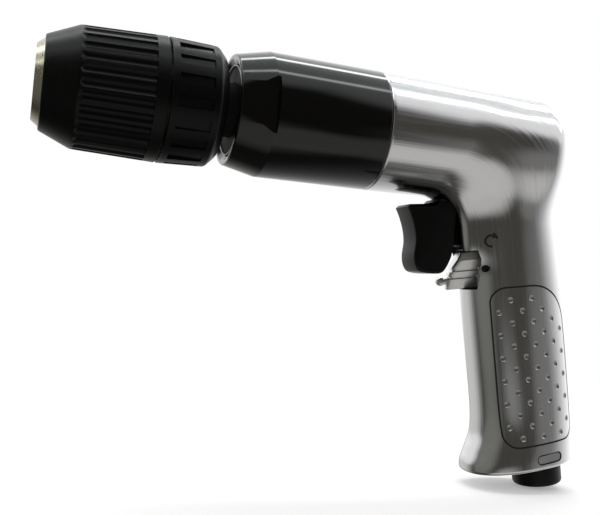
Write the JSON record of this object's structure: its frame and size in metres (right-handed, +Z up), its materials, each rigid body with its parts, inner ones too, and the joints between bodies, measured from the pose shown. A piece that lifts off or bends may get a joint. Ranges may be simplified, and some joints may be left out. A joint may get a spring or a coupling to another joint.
{
  "type": "air drill",
  "caption": "Pistol-grip air drill: keyless chuck, black gear case, cast aluminium housing and handle with trigger, reversing lever and a threaded air inlet in the foot.",
  "frame": {"origin": "on the spindle's axis at the front face of the chuck's nose", "axes": "+X runs from the chuck along the spindle to the back of the housing, +Z is up, the handle hangs along -Z and leans to +X, and the picture is taken from the -Y side"},
  "size_m": [0.2141, 0.0444, 0.1529],
  "materials": {
    "cast_aluminium": "polished casting with fine brush lines",
    "black_enamel": "gloss",
    "gear_steel": "oiled, machined",
    "bright_steel": "ground",
    "bearing_steel": "polished",
    "motor_iron": "ground",
    "vane_resin": "fibre-filled resin",
    "chuck_nylon": "fine matte grain",
    "trigger_plastic": "satin",
    "zinc_casting": "bright zinc",
    "black_pin": "black oxide",
    "brass": "turned",
    "valve_rubber": "matte",
    "muffler_felt": "pressed felt",
    "screen_plastic": "moulded"
  },
  "bodies": {
    "housing": {"housing": "cast_aluminium", "gear_case": "black_enamel", "ring_gear": "gear_steel", "gear_washer": "gear_steel", "dust_ring": "bright_steel", "spindle_bearing_outer_races": "bearing_steel", "front_end_plate": "motor_iron", "motor_cylinder": "motor_iron", "rear_end_plate": "motor_iron", "motor_dowel": "gear_steel", "motor_washer": "gear_steel", "rotor_bearing_outer_races": "bearing_steel", "throttle_bushing": "brass", "throttle_spring": "gear_steel", "lever_stop_pins": "black_pin", "inlet_bushing": "black_enamel", "inlet_seal": "valve_rubber", "inlet_screen": "brass", "muffler": "muffler_felt", "exhaust_screen": "screen_plastic"},
    "spindle": {"spindle": "bright_steel", "second_planet_pins": "gear_steel", "chuck_body": "bright_steel", "chuck_screw": "bright_steel", "rear_sleeve": "chuck_nylon", "spindle_bearing_inner_races": "bearing_steel", "spindle_bearing_balls": "bearing_steel"},
    "sleeve": {"front_sleeve": "chuck_nylon", "chuck_nut": "bright_steel", "nut_jacket": "bright_steel", "thrust_balls": "bearing_steel"},
    "jaw_1": {"jaw_1": "bright_steel"},
    "jaw_2": {"jaw_2": "bright_steel"},
    "jaw_3": {"jaw_3": "bright_steel"},
    "second_planet_1": {"second_planet_1": "gear_steel"},
    "second_planet_2": {"second_planet_2": "gear_steel"},
    "second_planet_3": {"second_planet_3": "gear_steel"},
    "first_carrier": {"first_carrier": "gear_steel", "first_planet_pins": "gear_steel"},
    "first_planet_1": {"first_planet_1": "gear_steel"},
    "first_planet_2": {"first_planet_2": "gear_steel"},
    "first_planet_3": {"first_planet_3": "gear_steel"},
    "rotor": {"rotor": "gear_steel", "vanes": "vane_resin", "rotor_bearing_inner_races": "bearing_steel", "rotor_bearing_balls": "bearing_steel"},
    "trigger": {"trigger": "trigger_plastic", "throttle_stem": "bright_steel", "throttle_valve": "valve_rubber"},
    "reverse_lever": {"reverse_lever": "zinc_casting", "reverse_valve": "bright_steel"}
  },
  "joints": [
    {"name": "spindle_spin", "type": "hinge", "parent": "housing", "child": "spindle", "pos_m": [0, 0, 0], "axis": [1, 0, 0], "continuous": true},
    {"name": "first_carrier_spin", "type": "hinge", "parent": "housing", "child": "first_carrier", "pos_m": [0, 0, 0], "axis": [1, 0, 0], "continuous": true},
    {"name": "rotor_spin", "type": "hinge", "parent": "housing", "child": "rotor", "pos_m": [0, 0, 0], "axis": [1, 0, 0], "continuous": true},
    {"name": "second_planet_1_spin", "type": "hinge", "parent": "spindle", "child": "second_planet_1", "pos_m": [0, 0, -0.01013], "axis": [1, 0, 0], "continuous": true},
    {"name": "second_planet_2_spin", "type": "hinge", "parent": "spindle", "child": "second_planet_2", "pos_m": [0, 0.00877, 0.00506], "axis": [1, 0, 0], "continuous": true},
    {"name": "second_planet_3_spin", "type": "hinge", "parent": "spindle", "child": "second_planet_3", "pos_m": [0, -0.00877, 0.00506], "axis": [1, 0, 0], "continuous": true},
    {"name": "first_planet_1_spin", "type": "hinge", "parent": "first_carrier", "child": "first_planet_1", "pos_m": [0, 0, -0.01013], "axis": [1, 0, 0], "continuous": true},
    {"name": "first_planet_2_spin", "type": "hinge", "parent": "first_carrier", "child": "first_planet_2", "pos_m": [0, 0.00877, 0.00506], "axis": [1, 0, 0], "continuous": true},
    {"name": "first_planet_3_spin", "type": "hinge", "parent": "first_carrier", "child": "first_planet_3", "pos_m": [0, -0.00877, 0.00506], "axis": [1, 0, 0], "continuous": true},
    {"name": "sleeve_turn", "type": "hinge", "parent": "spindle", "child": "sleeve", "pos_m": [0, 0, 0], "axis": [1, 0, 0], "range_deg": [-364, 1310]},
    {"name": "jaw_1_slide", "type": "slide", "parent": "spindle", "child": "jaw_1", "axis": [0.9511, 0, 0.309], "range_m": [-0.00404, 0.01456]},
    {"name": "jaw_2_slide", "type": "slide", "parent": "spindle", "child": "jaw_2", "axis": [0.9511, -0.2676, -0.1545], "range_m": [-0.00404, 0.01456]},
    {"name": "jaw_3_slide", "type": "slide", "parent": "spindle", "child": "jaw_3", "axis": [0.9511, 0.2676, -0.1545], "range_m": [-0.00404, 0.01456]},
    {"name": "trigger_pull", "type": "slide", "parent": "housing", "child": "trigger", "axis": [1, 0, 0], "range_m": [0, 0.005], "stiffness_N_per_m": 900, "springref_m": -0.006, "deforming": ["throttle_spring"]},
    {"name": "reverse_swing", "type": "hinge", "parent": "housing", "child": "reverse_lever", "pos_m": [0.17531, 0, -0.04738], "axis": [-0.1754, 0, 0.9845], "range_deg": [0, 40]}
  ],
  "couplings": [
    {"joint": "first_carrier_spin", "follows": "spindle_spin", "ratio": 6},
    {"joint": "rotor_spin", "follows": "spindle_spin", "ratio": 36},
    {"joint": "second_planet_1_spin", "follows": "spindle_spin", "ratio": -2.5},
    {"joint": "second_planet_2_spin", "follows": "spindle_spin", "ratio": -2.5},
    {"joint": "second_planet_3_spin", "follows": "spindle_spin", "ratio": -2.5},
    {"joint": "first_planet_1_spin", "follows": "spindle_spin", "ratio": -15},
    {"joint": "first_planet_2_spin", "follows": "spindle_spin", "ratio": -15},
    {"joint": "first_planet_3_spin", "follows": "spindle_spin", "ratio": -15},
    {"joint": "jaw_1_slide", "follows": "sleeve_turn", "m_per_rad": 0.00063662},
    {"joint": "jaw_2_slide", "follows": "sleeve_turn", "m_per_rad": 0.00063662},
    {"joint": "jaw_3_slide", "follows": "sleeve_turn", "m_per_rad": 0.00063662}
  ]
}
